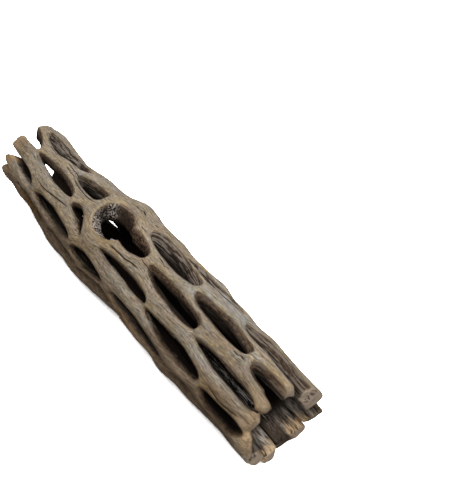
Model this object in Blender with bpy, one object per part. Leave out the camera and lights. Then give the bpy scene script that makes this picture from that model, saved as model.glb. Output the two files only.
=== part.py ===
"""Cholla wood stick: one hollow piece of weathered cactus skeleton.

The wood is a tube along X whose wall is pierced by a spiral lattice of long holes, so that only
strands are left between them. It is described as a field over a cylindrical grid: length, angle and
distance from the axis. The surface where the field is zero is then meshed. Lengths in the tables are
millimetres and angles are degrees; an angle is measured from the top (+Z) towards -Y.
"""
import math
import random
from collections import namedtuple

import bpy
import numpy as np
from mathutils import Matrix

MM = 0.001

# Driving dimensions
AXIS_HEIGHT = 14.0        # from the surface that the stick lies on
BASE_RADIUS = 13.7        # outer radius between the swellings
TUNNEL_RADIUS = 9.2       # hollow pith core
SPREAD_RADIUS = 14.0      # cylinder on which the hole outlines are laid out
FLARE_DEPTH = 3.0         # depth below the outer face at which a strand has its full width
RIM_ROUNDING = 1.3        # outer edge of the holes
INNER_ROUNDING = 0.8      # inner edge of the holes
FAR_ROUNDING = 1.1        # worn strand ends towards -X
FOOT_RADIUS = 14.5        # radius to which the underside is filled out, before it is worn flat
FOOT_REACH = 26.0         # degrees either side of the lowest line

# Hidden side: one lattice step round the stick and one step along it
TURN_STEP = (11.5, 42.5)
ROW_STEP = (17.5, -26.0)
LATTICE_START = (30.0, 18.5)
HIDDEN_FROM, HIDDEN_TO = 116.0, 302.0
HIDDEN_LEFT, HIDDEN_RIGHT = -90.0, 60.0
HIDDEN_LENGTH = 27.5
HIDDEN_WIDTH = 17.5
SEED = 7

# Grid of the field
STEP_ALONG = 0.9
STEP_ROUND = 0.75
STEP_DEEP = 0.75
HALF_SPAN = 86.0
LEAST_RADIUS = 5.0
MOST_RADIUS = 18.6
TRIANGLES = 9400

# One hole: centre, length along the stick and width round it. lean and bow tilt and curve its middle
# line, egg widens the near part, and far/near over 1 make that end pointed, under 1 blunt. flare is
# how much narrower the hole is inside, on each side.
Hole = namedtuple(
    "Hole", "x deg length width lean bow egg far near flare",
    defaults=(0, 0, 0, 1.0, 1.0, 0.35),
)
# One swelling of the outside: reach is how far it spreads along and round; round 0 means all round.
Swelling = namedtuple("Swelling", "x deg height along round")

HOLES = [
    # far end, first the slots that run out of it
    Hole(-79.3, -3.0, 29.5, 23.0, lean=4, bow=7),
    Hole(-67.0, 46.6, 29.0, 12.0, lean=8.5, bow=1, egg=0.8, near=1.3, flare=0.0),
    Hole(-84.5, 73.5, 25.0, 10.0),
    Hole(-56.3, -25.0, 31.5, 23.0, bow=-2.5, near=1.1, flare=1.0),
    Hole(-29.3, -5.5, 18.0, 19.0, egg=0.35, far=1.1, near=0.6, flare=0.9),
    Hole(-45.5, 19.3, 32.0, 20.0, lean=4.5, egg=0.2, far=1.1, near=1.1, flare=0.9),
    Hole(-33.0, 60.5, 29.5, 16.0, bow=2, far=1.3, near=1.2, flare=0.1),
    Hole(-20.0, 32.8, 12.5, 12.0, lean=8.5, bow=7.5, far=1.5, near=1.4, flare=0.0),
    Hole(-50.0, 84.5, 29.0, 17.0, lean=1, far=1.2, near=1.2),
    Hole(-22.0, 88.5, 21.5, 23.0, lean=2, near=1.1, flare=0.8),
    # knot: a round pit through the thickened wall, and the long hole that it runs into
    Hole(-7.5, 7.6, 16.0, 43.0, flare=0.0),
    Hole(2.0, 6.5, 21.0, 23.0, lean=1, near=0.8, flare=0.2),
    # middle
    Hole(-6.0, 70.8, 18.0, 18.5, lean=2, bow=2, near=1.2),
    Hole(10.8, 44.0, 26.5, 14.0, lean=1.5, bow=1, egg=0.2, far=1.4, near=0.6, flare=0.0),
    Hole(30.2, 18.3, 27.4, 18.8, lean=3.2, bow=-1.5, egg=0.15, far=0.8, near=0.6, flare=0.8),
    Hole(17.6, -19.7, 27.5, 24.0, lean=2.5, near=0.9, flare=1.1),
    Hole(32.0, -43.0, 24.0, 5.5, lean=-5, far=1.2, near=1.2, flare=0.0),
    Hole(24.0, 81.5, 29.0, 19.0, lean=4, far=1.2, near=1.1),
    Hole(1.0, 97.0, 24.0, 24.0, lean=3, near=1.1, flare=0.8),
    Hole(40.0, 57.5, 28.0, 19.0, lean=5, egg=0.35, far=1.2, near=0.8, flare=0.1),
    # near end, last the slots that run out of it
    Hole(46.8, -5.6, 25.9, 20.6, lean=1, egg=0.1, far=1.1, near=0.8, flare=0.9),
    Hole(59.3, 35.0, 25.8, 16.5, lean=3, egg=0.25, far=1.3, near=0.75, flare=0.1),
    Hole(49.5, 98.0, 26.0, 24.0, lean=4, far=1.1, near=1.1, flare=0.8),
    Hole(64.8, 77.5, 17.6, 25.0, bow=-5, egg=0.12, far=1.2, flare=0.6),
    Hole(71.0, -30.0, 40.5, 18.5, far=0.75, flare=1.2),
    Hole(70.5, 4.0, 15.0, 18.5, flare=0.8),
    Hole(84.0, 13.0, 28.0, 18.5, lean=2),
    # turned away: beside the ones above, and the gaps between the strands of the near end
    Hole(-69.0, 108.0, 26.0, 17.0, lean=3, far=1.2),
    Hole(-43.0, 125.0, 25.0, 15.0, lean=3, near=1.2),
    Hole(28.0, 120.5, 26.0, 16.0, lean=3, far=1.2),
    Hole(-62.0, 222.5, 26.0, 14.0, lean=3, far=1.2),
    Hole(53.0, 147.0, 22.0, 15.0, lean=3, far=1.2),
    Hole(-37.0, 231.0, 27.0, 15.5, lean=3, far=1.2),
    Hole(-17.0, 207.5, 27.0, 17.0, lean=2, far=1.1),
    Hole(1.5, 191.5, 22.0, 13.0, lean=3, far=1.2),
    Hole(23.0, 196.5, 21.0, 15.0, lean=2, far=1.2),
    Hole(17.0, 226.5, 26.0, 15.0, lean=3, far=1.2),
    Hole(47.5, 213.0, 20.0, 14.0, lean=3, far=1.2),
    Hole(52.0, 241.0, 17.0, 16.0, lean=2, far=1.2),
    Hole(80.0, 140.0, 26.0, 9.0, far=1.2, flare=0.0),
    Hole(79.0, 175.5, 30.0, 6.5, far=1.2, flare=0.0),
    Hole(82.0, 230.0, 30.0, 9.0, far=1.2, flare=0.0),
    Hole(80.0, 254.0, 28.0, 7.0, far=1.2, flare=0.0),
    Hole(84.0, 270.0, 32.0, 8.0, far=1.2, flare=0.0),
]

SWELLINGS = [
    Swelling(-14, 0, 1.5, 17, 0),
    Swelling(-12, -60, 2.2, 6.5, 40),
    Swelling(10, -60, 2.3, 10, 45),
    Swelling(-32, 109, 1.8, 13, 60),
    Swelling(-10, 109, 1.0, 7, 60),
    Swelling(-73, -60, 1.0, 7, 45),
    Swelling(-82, 109, -0.5, 9, 60),
    Swelling(30, 109, 0.4, 14, 40),
    Swelling(31, -62, 0.8, 4.5, 16),
    Swelling(-55, -60, -0.8, 6, 40),
    Swelling(34, 0, 1.0, 13, 0),
    Swelling(78, 0, -0.6, 8, 0),
    Swelling(60, -60, 0.4, 8, 45),
]

# The same for the pith tunnel: two strands are thicker on the inside, and one thins out to its end.
TUNNEL_SWELLINGS = [
    Swelling(78, -68, -2.3, 13, 24),
    Swelling(-67, 53, -2.3, 9, 11),
    Swelling(80, 187, 3.6, 5, 9),
]

# Where the strands end, as (angle, x): the far end towards -X and the near end towards +X.
FAR_TIPS = [
    (-90, -79.5), (-60, -80.0), (-38, -80.6), (-25, -79.6), (-12, -78.0), (5, -76.5), (15, -77.6),
    (30, -77.8), (37, -77.2), (41, -70.8), (47, -71.8), (52, -76.0), (58, -77.6), (65, -76.8),
    (70, -74.6), (76, -77.6), (80, -79.2), (95, -80.2), (110, -79.4), (130, -78.0), (155, -78.0),
    (185, -76.3), (208, -75.6), (232, -78.0),
]
NEAR_TIPS = [
    (-106, 78.2), (-96, 78.5), (-91, 78.3), (-86, 76.6), (-60, 76.9), (-45, 76.6), (-30, 75.2),
    (-10, 74.9), (5, 75.0), (18, 75.2), (30, 75.2), (36, 73.9), (45, 75.2), (56, 75.0), (64, 74.6),
    (72, 76.2), (86, 77.0), (95, 77.1), (120, 77.1), (150, 76.7), (171, 75.8), (178, 74.2), (197, 74.4),
    (206, 75.6), (222, 76.2), (240, 76.2),
]

# How round the strand ends are towards +X, as (angle, rounding)
NEAR_ROUNDS = [
    (-90, 0.5), (-40, 0.5), (-18, 1.1), (5, 1.2), (18, 1.6), (56, 1.8), (66, 3.0), (94, 3.0), (106, 0.7),
    (180, 0.5),
]


def clear_scene():
    for obj in list(bpy.data.objects):
        bpy.data.objects.remove(obj)


def turn_between(a, b):
    """Signed difference of two angles, in -180 to 180 degrees."""
    return (a - b + 180.0) % 360.0 - 180.0


def hidden_holes():
    """Lattice holes on the side turned away, each a little out of place."""
    rng = random.Random(SEED)
    made = []
    for i in range(-12, 16):
        for j in range(-10, 11):
            x = LATTICE_START[0] + i * TURN_STEP[0] + j * ROW_STEP[0]
            deg = LATTICE_START[1] + i * TURN_STEP[1] + j * ROW_STEP[1]
            if not (HIDDEN_FROM < deg < HIDDEN_TO and HIDDEN_LEFT < x < HIDDEN_RIGHT):
                continue
            near_other = any(
                abs(x - h.x) < 0.5 * (h.length + HIDDEN_LENGTH) - 6.0
                and abs(turn_between(deg, h.deg)) < 0.5 * (h.width + HIDDEN_WIDTH) + 3.0
                for h in HOLES + made
            )
            if near_other:
                continue
            made.append(Hole(
                x + rng.uniform(-1.2, 1.2), deg + rng.uniform(-2.0, 2.0),
                HIDDEN_LENGTH * rng.uniform(0.85, 1.08), HIDDEN_WIDTH * rng.uniform(0.85, 1.15),
                lean=rng.uniform(1.0, 4.5), bow=rng.uniform(-2.0, 2.0), egg=rng.uniform(-0.1, 0.3),
                far=rng.uniform(1.0, 1.3), near=rng.uniform(0.7, 1.2),
            ))
    return made


def half_width(hole, u):
    """Half the hole's width in degrees at u, which runs from -1 at its far end to 1 at its near end."""
    power = np.where(u < 0, hole.far, hole.near)
    rise = np.sqrt(np.clip(1.0 - u * u, 0.0, 1.0))
    return 0.5 * hole.width * rise ** power * (1.0 + hole.egg * u)


def middle_line(hole, u):
    return hole.deg + hole.lean * u + hole.bow * u * u


def hole_outline(hole, count=56):
    """Points round the hole, laid flat in millimetres."""
    u = np.cos(np.linspace(0.0, 2.0 * math.pi, count, endpoint=False))
    side = np.where(np.arange(count) < count / 2, 1.0, -1.0)
    deg = middle_line(hole, u) + side * half_width(hole, u)
    return hole.x + 0.5 * hole.length * u, np.radians(deg) * SPREAD_RADIUS


def distance_into(hole, xs, degs, reach=5.0):
    """Signed distance from the hole's outline on the flat grid: positive inside, -reach far outside."""
    depth = np.full((len(xs), len(degs)), -reach)
    rows = np.where(np.abs(xs - hole.x) < 0.5 * hole.length + reach)[0]
    turn = turn_between(degs, hole.deg)
    spread = 0.5 * hole.width + abs(hole.lean) + abs(hole.bow) + math.degrees(reach / SPREAD_RADIUS)
    cols = np.where(np.abs(turn) < spread)[0]
    if not len(rows) or not len(cols):
        return depth
    x = np.repeat(xs[rows], len(cols))
    deg = np.tile(hole.deg + turn[cols], len(rows))
    flat = np.radians(deg) * SPREAD_RADIUS
    px, ps = hole_outline(hole)
    least = np.full(len(x), 1e9)
    for ax, a_s, bx, bs in zip(px, ps, np.roll(px, -1), np.roll(ps, -1)):
        ex, es = bx - ax, bs - a_s
        along = np.clip(((x - ax) * ex + (flat - a_s) * es) / (ex * ex + es * es + 1e-12), 0.0, 1.0)
        least = np.minimum(least, np.hypot(x - ax - along * ex, flat - a_s - along * es))
    u = (x - hole.x) / (0.5 * hole.length)
    inside = (np.abs(u) < 1.0) & (np.abs(deg - middle_line(hole, u)) < half_width(hole, u))
    signed = np.where(inside, least, -np.minimum(least, reach))
    depth[np.ix_(rows, cols)] = signed.reshape(len(rows), len(cols))
    return depth


def swelling(part, x, deg):
    rise = part.height * np.exp(-0.5 * ((x - part.x) / part.along) ** 2)
    if part.round:
        rise = rise * np.exp(-0.5 * (turn_between(deg, part.deg) / part.round) ** 2)
    return rise


def waves(x, deg, count, along, turns, seed):
    """Soft lumps: a sum of waves that close round the stick, about 1 high at most."""
    rng = random.Random(seed)
    total = np.zeros(np.broadcast(x, deg).shape)
    for _ in range(count):
        k = 2.0 * math.pi / rng.uniform(*along)
        n = rng.randint(*turns) * rng.choice((-1, 1))
        total = total + np.sin(k * x + n * np.radians(deg) + rng.uniform(0.0, 2.0 * math.pi))
    return total / math.sqrt(count)


def outer_radius(x, deg):
    radius = BASE_RADIUS + sum(swelling(part, x, deg) for part in SWELLINGS)
    radius = radius + 0.22 * waves(x, deg, 6, (18.0, 45.0), (1, 4), SEED + 1)
    radius = radius + 0.14 * waves(x, deg, 8, (9.0, 18.0), (5, 11), SEED + 2)
    under = np.exp(-((turn_between(deg, 180.0) / FOOT_REACH) ** 4))
    return radius + under * (FOOT_RADIUS - radius)


def tunnel_radius(x, deg):
    radius = TUNNEL_RADIUS + sum(swelling(part, x, deg) for part in TUNNEL_SWELLINGS)
    return radius + 0.35 * waves(x, deg, 7, (12.0, 34.0), (2, 7), SEED + 3)


def by_angle(table, degs):
    """The value at each angle between those in a table of (angle, value)."""
    angles = np.array([row[0] for row in table], float)
    values = np.array([row[1] for row in table], float)
    order = np.argsort(angles % 360.0)
    return np.interp(degs % 360.0, angles[order] % 360.0, values[order], period=360.0)


def rounded_max(a, b, rounding):
    """The greater of two fields, with the edge where they meet rounded."""
    near = np.hypot(np.maximum(rounding + a, 0.0), np.maximum(rounding + b, 0.0))
    return np.minimum(-rounding, np.maximum(a, b)) + near


def smooth_step(t):
    t = np.clip(t, 0.0, 1.0)
    return t * t * (3.0 - 2.0 * t)


def wood_field(xs, degs, radii):
    """The field over the grid: under zero in the wood, over zero outside it."""
    holes = HOLES + hidden_holes()
    depths = np.array([distance_into(hole, xs, degs) for hole in holes])
    mouth = depths.max(axis=0)
    throat = np.max([d - hole.flare for d, hole in zip(depths, holes)], axis=0)
    x, deg = xs[:, None], degs[None, :]
    outside = radii[None, None, :] - outer_radius(x, deg)[:, :, None]
    inside = tunnel_radius(x, deg)[:, :, None] - radii[None, None, :]
    deep = smooth_step(-outside / FLARE_DEPTH)
    hole = mouth[:, :, None] + deep * (throat - mouth)[:, :, None]
    wood = np.maximum(
        rounded_max(outside, hole, RIM_ROUNDING), rounded_max(inside, hole, INNER_ROUNDING)
    )
    past_far = by_angle(FAR_TIPS, degs)[None, :] - x
    past_near = x - by_angle(NEAR_TIPS, degs)[None, :]
    wood = rounded_max(wood, past_far[:, :, None], FAR_ROUNDING)
    return rounded_max(wood, past_near[:, :, None], by_angle(NEAR_ROUNDS, degs)[None, :, None])


def fill_diagonals(field):
    """Fills grid squares that are wood only at two opposite corners, where the surface would touch itself."""
    field = field.copy()
    for _ in range(4):
        for one, two in ((0, 1), (0, 2), (1, 2)):
            solid = field < 0.0
            right = np.roll(solid, -1, axis=one)
            up = np.roll(solid, -1, axis=two)
            across = np.roll(right, -1, axis=two)
            diagonal = (solid == across) & (right == up) & (solid != right)
            for shift_one, shift_two in ((0, 0), (1, 0), (0, 1), (1, 1)):
                there = np.roll(np.roll(diagonal, shift_one, axis=one), shift_two, axis=two)
                field = np.where(there & (field >= 0.0), -0.02, field)
    return field


CORNERS = [(a, b, c) for a in (0, 1) for b in (0, 1) for c in (0, 1)]
CELL_EDGES = [
    (p, q) for p in range(8) for q in range(p + 1, 8)
    if sum(abs(m - n) for m, n in zip(CORNERS[p], CORNERS[q])) == 1
]


def surface_of(field):
    """Vertices in grid units and the quads between them, where the field is zero. Round the stick the
    grid closes on itself."""
    nx, nt, nr = field.shape
    solid = field < 0.0
    wrapped = np.concatenate([solid, solid[:, :1]], axis=1)
    total = sum(
        wrapped[a:nx - 1 + a, b:nt + b, c:nr - 1 + c].astype(np.int8) for a, b, c in CORNERS
    )
    cells = np.argwhere((total > 0) & (total < 8))
    number = np.full((nx - 1, nt, nr - 1), -1)
    number[tuple(cells.T)] = np.arange(len(cells))
    values = np.stack([
        field[cells[:, 0] + a, (cells[:, 1] + b) % nt, cells[:, 2] + c] for a, b, c in CORNERS
    ], axis=1)
    places = np.zeros((len(cells), 3))
    crossings = np.zeros(len(cells))
    for p, q in CELL_EDGES:
        low, high = values[:, p], values[:, q]
        crossed = (low < 0.0) != (high < 0.0)
        share = np.where(crossed, low / np.where(crossed, low - high, 1.0), 0.0)
        start, end = np.array(CORNERS[p], float), np.array(CORNERS[q], float)
        places += crossed[:, None] * (start + share[:, None] * (end - start))
        crossings += crossed
    places = cells + places / crossings[:, None]
    faces = []
    for axis in range(3):
        faces.append(quads_across(solid, number, axis))
    return places, np.concatenate(faces)


def quads_across(solid, number, axis):
    """One quad for each grid edge along the axis that crosses the surface."""
    ahead = np.roll(solid, -1, axis=axis)
    changes = solid != ahead
    if axis != 1:
        changes[tuple(slice(-1, None) if n == axis else slice(None) for n in range(3))] = False
    edges = np.argwhere(changes)
    leaving = solid[tuple(edges.T)]
    one, two = (axis + 1) % 3, (axis + 2) % 3
    corners = []
    for back_one, back_two in ((0, 0), (1, 0), (1, 1), (0, 1)):
        cell = edges.copy()
        cell[:, one] -= back_one
        cell[:, two] -= back_two
        cell[:, 1] %= solid.shape[1]
        corners.append(number[tuple(cell.T)])
    quads = np.stack(corners, axis=1)
    return np.where(leaving[:, None], quads, quads[:, ::-1])


def to_space(places, xs, degs, radii):
    """Grid units to metres."""
    x = np.interp(places[:, 0], np.arange(len(xs)), xs)
    deg = degs[0] + places[:, 1] * (degs[1] - degs[0])
    radius = np.interp(places[:, 2], np.arange(len(radii)), radii)
    turn = np.radians(deg)
    return MM * np.stack(
        [x, -radius * np.sin(turn), AXIS_HEIGHT + radius * np.cos(turn)], axis=1
    )


def wood_object():
    xs = np.arange(-HALF_SPAN, HALF_SPAN + STEP_ALONG, STEP_ALONG)
    count = int(round(2.0 * math.pi * SPREAD_RADIUS / STEP_ROUND))
    degs = np.arange(count) * 360.0 / count - 180.0
    radii = np.arange(LEAST_RADIUS, MOST_RADIUS, STEP_DEEP)
    places, quads = surface_of(fill_diagonals(wood_field(xs, degs, radii)))
    mesh = bpy.data.meshes.new("cholla_wood")
    mesh.from_pydata(to_space(places, xs, degs, radii).tolist(), [], quads.tolist())
    mesh.polygons.foreach_set("use_smooth", np.ones(len(mesh.polygons), bool))
    mesh.update()
    obj = bpy.data.objects.new("cholla_wood", mesh)
    bpy.context.scene.collection.objects.link(obj)
    return obj


def add_reduction(obj):
    """Fewer, larger faces where the surface is flat."""
    modifier = obj.modifiers.new("fewer_faces", "DECIMATE")
    modifier.ratio = TRIANGLES / (2.0 * len(obj.data.polygons))
    return modifier


def centre_on_origin(obj):
    """Moves the mesh so that the middle of its bounding box stands over the origin."""
    bpy.context.view_layer.update()
    evaluated = obj.evaluated_get(bpy.context.evaluated_depsgraph_get())
    corners = np.array([tuple(corner) for corner in evaluated.bound_box])
    middle = 0.5 * (corners.min(axis=0) + corners.max(axis=0))
    obj.data.transform(Matrix.Translation((-middle[0], -middle[1], 0.0)))


def wear_flat(obj):
    """Cuts the underside level with the surface that the stick lies on."""
    corners = [
        (sx * HALF_SPAN * 1.2, sy * MOST_RADIUS, z)
        for z in (-6.0, 0.0) for sx, sy in ((-1, -1), (1, -1), (1, 1), (-1, 1))
    ]
    sides = [(0, 3, 2, 1), (4, 5, 6, 7), (0, 1, 5, 4), (1, 2, 6, 5), (2, 3, 7, 6), (3, 0, 4, 7)]
    mesh = bpy.data.meshes.new("ground_cutter")
    mesh.from_pydata([tuple(MM * v for v in corner) for corner in corners], [], sides)
    cutter = bpy.data.objects.new("ground_cutter", mesh)
    bpy.context.scene.collection.objects.link(cutter)
    cutter.hide_render = True
    cutter.display_type = "WIRE"
    modifier = obj.modifiers.new("worn_flat", "BOOLEAN")
    modifier.operation = "DIFFERENCE"
    modifier.solver = "EXACT"
    modifier.object = cutter
    return cutter


def wood_material():
    material = bpy.data.materials.new("weathered_wood")
    material.use_nodes = True
    shader = material.node_tree.nodes["Principled BSDF"]
    shader.inputs["Base Color"].default_value = (0.24, 0.19, 0.13, 1.0)
    shader.inputs["Roughness"].default_value = 0.85
    return material


def main():
    clear_scene()
    obj = wood_object()
    add_reduction(obj)
    wear_flat(obj)
    centre_on_origin(obj)
    obj.data.materials.append(wood_material())


main()
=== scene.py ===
"""Looks of the cholla wood stick: one fine mesh with its grain, cracks and weathered colours.

The shape is the one of the CAD part, described as a field over a cylindrical grid (length, angle and
distance from the axis), on a finer grid and with the relief that the solid leaves out. Lengths are
millimetres and angles are degrees from the top (+Z) towards -Y, unless said otherwise.
"""
import math
import random
from collections import namedtuple

import bpy
import numpy as np
from mathutils import Euler, Matrix, Vector

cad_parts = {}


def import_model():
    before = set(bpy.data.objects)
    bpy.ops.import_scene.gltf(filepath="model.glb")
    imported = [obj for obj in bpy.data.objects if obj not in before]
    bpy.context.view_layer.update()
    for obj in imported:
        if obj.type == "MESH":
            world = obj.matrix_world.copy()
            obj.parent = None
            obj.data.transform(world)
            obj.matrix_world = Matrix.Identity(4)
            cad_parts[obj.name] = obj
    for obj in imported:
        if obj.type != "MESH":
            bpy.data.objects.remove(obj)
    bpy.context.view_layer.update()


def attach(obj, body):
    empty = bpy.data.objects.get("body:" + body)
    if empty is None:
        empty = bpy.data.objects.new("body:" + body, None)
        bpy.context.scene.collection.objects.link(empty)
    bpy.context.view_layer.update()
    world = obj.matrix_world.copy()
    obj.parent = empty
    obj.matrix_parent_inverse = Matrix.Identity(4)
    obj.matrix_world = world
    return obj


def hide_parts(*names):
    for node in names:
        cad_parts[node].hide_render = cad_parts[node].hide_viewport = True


MM = 0.001

# Driving dimensions, as in the CAD part
AXIS_HEIGHT = 14  # from the surface that the stick lies on
BASE_RADIUS = 13.7  # outer radius between the swellings
TUNNEL_RADIUS = 9.2  # hollow pith core
SPREAD_RADIUS = 14.0  # cylinder on which the hole outlines are laid out
FLARE_DEPTH = 3  # depth below the outer face at which a strand has its full width
RIM_ROUNDING = 1.7  # outer edge of the holes, 0.4 more than in the CAD part
INNER_ROUNDING = 0.8  # inner edge of the holes
FAR_ROUNDING = 1.1  # worn strand ends towards -X
FOOT_RADIUS = 14.5  # radius to which the underside is filled out, before it is worn flat
FOOT_REACH = 26  # degrees either side of the lowest line
FOOT_ROUNDING = 0.3  # edge of the worn flat
SHIFT_X, SHIFT_Y = 1.073, -0.171  # from the axes of the tables below to the part's origin
PER_DEGREE = math.radians(SPREAD_RADIUS)  # millimetres round the stick in one degree

# Hidden side: one lattice step round the stick and one step along it
TURN_STEP = (11.5, 42.5)
ROW_STEP = (17.5, -26)
LATTICE_START = (30, 18.5)
HIDDEN_FROM, HIDDEN_TO = 116, 302
HIDDEN_LEFT, HIDDEN_RIGHT = -90, 60
HIDDEN_LENGTH = 27.5
HIDDEN_WIDTH = 17.5
SEED = 7

# Grid of the field, and how many triangles are kept of it
STEP_ALONG = 0.62
STEP_ROUND = 0.40
STEP_DEEP = 0.40
TRIANGLES = 194000
HALF_SPAN = 86.0
LEAST_RADIUS = 5.0
MOST_RADIUS = 18.6

# One hole: centre, length along the stick and width round it. lean and bow tilt and curve its middle
# line, egg widens the near part, and far/near over 1 make that end pointed, under 1 blunt. flare is
# how much narrower the hole is inside, on each side. pale: light fibre on its wall. lit: how far the skin
# goes on down the wall on the side of the greater angles.
Hole = namedtuple(
    "Hole", "x deg length width lean bow egg far near flare pale lit",
    defaults=(0, 0, 0, 1, 1, 0.35, 0.1, 0),
)
HIDDEN_WALL = {"pale": 0.25, "lit": 0.4}  # of the holes turned away
# One swelling of the outside: its height, and how far it spreads along and round. round 0: all round.
Swelling = namedtuple("Swelling", "x deg height along round")

HOLES = [
    # far end, first the slots that run out of it
    Hole(-79.3, -3, 29.5, 23, lean=4, bow=7, pale=0.2),
    Hole(-67, 46.6, 29, 12, lean=8.5, bow=1, egg=0.8, near=1.3, flare=0),
    Hole(-84.5, 73.5, 25, 10, lit=0.2),
    Hole(-56.3, -25, 31.5, 23, bow=-2.5, near=1.1, flare=1, pale=0.75),
    Hole(-29.3, -5.5, 18, 19, egg=0.35, far=1.1, near=0.6, flare=0.9, pale=0.3),
    Hole(-45.5, 19.3, 32, 20, lean=4.5, egg=0.2, far=1.1, near=1.1, flare=0.9, lit=0.35),
    Hole(-33, 60.5, 29.5, 16, bow=2, far=1.3, near=1.2, flare=0.1),
    Hole(-20, 32.8, 12.5, 12, lean=8.5, bow=7.5, far=1.5, near=1.4, flare=0, pale=0),
    Hole(-50, 84.5, 29, 17, lean=1, far=1.2, near=1.2, lit=0.25),
    Hole(-22, 88.5, 21.5, 23, lean=2, near=1.1, flare=0.8, lit=0.25),
    # knot: a round pit through the thickened wall, and the long hole that it runs into
    Hole(-7.5, 7.6, 16, 43, flare=0, pale=0),
    Hole(2, 6.5, 21, 23, lean=1, near=0.8, flare=0.2),
    # middle
    Hole(-6, 70.8, 18, 18.5, lean=2, bow=2, near=1.2),
    Hole(10.8, 44, 26.5, 14, lean=1.5, bow=1, egg=0.2, far=1.4, near=0.6, flare=0, pale=0, lit=0.25),
    Hole(30.2, 18.3, 27.4, 18.8, lean=3.2, bow=-1.5, egg=0.15, far=0.8, near=0.6, flare=0.8, pale=0.05),
    Hole(17.6, -19.7, 27.5, 24, lean=2.5, near=0.9, flare=1.1, pale=0.6),
    Hole(32, -43, 24, 5.5, lean=-5, far=1.2, near=1.2, flare=0, pale=0.8, lit=0.6),
    Hole(24, 81.5, 29, 19, lean=4, far=1.2, near=1.1),
    Hole(1, 97, 24, 24, lean=3, near=1.1, flare=0.8, lit=0.25),
    Hole(40, 57.5, 28, 19, lean=5, egg=0.35, far=1.2, near=0.8, flare=0.1, pale=0),
    # near end, last the slots that run out of it
    Hole(46.8, -5.6, 25.9, 20.6, lean=1, egg=0.1, far=1.1, near=0.8, flare=0.9, pale=0.12),
    Hole(59.3, 35, 25.8, 16.5, lean=3, egg=0.25, far=1.3, near=0.75, flare=0.1, lit=0.35),
    Hole(49.5, 98, 26, 24, lean=4, far=1.1, near=1.1, flare=0.8, lit=0.25),
    Hole(64.8, 77.5, 17.6, 25, bow=-5, egg=0.12, far=1.2, flare=0.6, pale=0),
    Hole(71, -30, 40.5, 18.5, far=0.75, flare=1.2, pale=0.5, lit=0.2),
    Hole(70.5, 4, 15, 18.5, flare=0.8, pale=0.3),
    Hole(84, 13, 28, 18.5, lean=2),
]
# Turned away: beside the ones above, and last the gaps between the strands of the near end. The one at
# -37 is a little smaller than in the CAD part.
HOLES += [Hole(*row, **HIDDEN_WALL) for row in (
    (-69, 108, 26, 17, 3, 0, 0, 1.2), (-43, 125, 25, 15, 3, 0, 0, 1, 1.2),
    (28, 120.5, 26, 16, 3, 0, 0, 1.2), (-62, 222.5, 26, 14, 3, 0, 0, 1.2),
    (53, 147, 22, 15, 3, 0, 0, 1.2), (-37, 229.4, 26.4, 12.6, 3, 0, 0, 1.2),
    (-17, 207.5, 27, 17, 2, 0, 0, 1.1), (1.5, 191.5, 22, 13, 3, 0, 0, 1.2),
    (23, 196.5, 21, 15, 2, 0, 0, 1.2), (17, 226.5, 26, 15, 3, 0, 0, 1.2),
    (47.5, 213, 20, 14, 3, 0, 0, 1.2), (52, 241, 17, 16, 2, 0, 0, 1.2),
    (80, 140, 26, 9, 0, 0, 0, 1.2, 1, 0), (79, 175.5, 30, 6.5, 0, 0, 0, 1.2, 1, 0),
    (82, 230, 30, 9, 0, 0, 0, 1.2, 1, 0), (80, 254, 28, 7, 0, 0, 0, 1.2, 1, 0),
    (84, 270, 32, 8, 0, 0, 0, 1.2, 1, 0),
)]

SWELLINGS = [Swelling(*row) for row in (
    (-14, 0, 1.5, 17, 0), (-12, -60, 2.2, 6.5, 40), (10, -60, 2.3, 10, 45), (-32, 109, 1.8, 13, 60),
    (-10, 109, 1, 7, 60), (-73, -60, 1, 7, 45), (-82, 109, -0.5, 9, 60), (30, 109, 0.4, 14, 40),
    (31, -62, 0.8, 4.5, 16), (-55, -60, -0.8, 6, 40), (34, 0, 1, 13, 0), (78, 0, -0.6, 8, 0),
    (60, -60, 0.4, 8, 45),
)]

# The same for the pith tunnel: two strands are thicker on the inside, and one thins out to its end.
TUNNEL_SWELLINGS = [Swelling(*row) for row in (
    (78, -68, -2.3, 13, 24), (-67, 53, -2.3, 9, 11), (80, 187, 3.6, 5, 9),
)]

# Where the strands end, as (angle, x): the far end towards -X and the near end towards +X.
FAR_TIPS = [
    (-90, -79.5), (-60, -80), (-38, -80.6), (-25, -79.6), (-12, -78), (5, -76.5), (15, -77.6),
    (30, -77.8), (37, -77.2), (41, -70.8), (47, -71.8), (52, -76), (58, -77.6), (65, -76.8),
    (70, -74.6), (76, -77.6), (80, -79.2), (95, -80.2), (110, -79.4), (130, -78), (155, -78),
    (185, -76.3), (208, -75.6), (232, -78),
]
NEAR_TIPS = [
    (-106, 78.2), (-96, 78.5), (-91, 78.3), (-86, 76.6), (-60, 76.9), (-45, 76.6), (-30, 75.2),
    (-10, 74.9), (5, 75), (18, 75.2), (30, 75.2), (36, 73.9), (45, 75.2), (56, 75), (64, 74.6),
    (72, 76.2), (86, 77), (95, 77.1), (120, 77.1), (150, 76.7), (171, 75.8), (178, 74.2), (197, 74.4),
    (206, 75.6), (222, 76.2), (240, 76.2),
]

# How round the strand ends are towards +X, and how pale their sawn faces are, as (angle, value). The faces
# left dark are partly broken wood and partly painted shade.
NEAR_ROUNDS = [
    (-90, 0.5), (-40, 0.5), (-18, 1.1), (5, 1.2), (18, 1.6), (56, 1.8), (66, 3), (94, 3), (106, 0.7),
    (180, 0.5),
]
NEAR_PALE = [
    (-106, 0.2), (-92, 0.2), (-86, 1), (60, 1), (120, 1), (173, 1), (178, 0), (199, 0),
    (204, 1), (240, 0.8), (250, 0.6), (254, 0.2),
]
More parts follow.
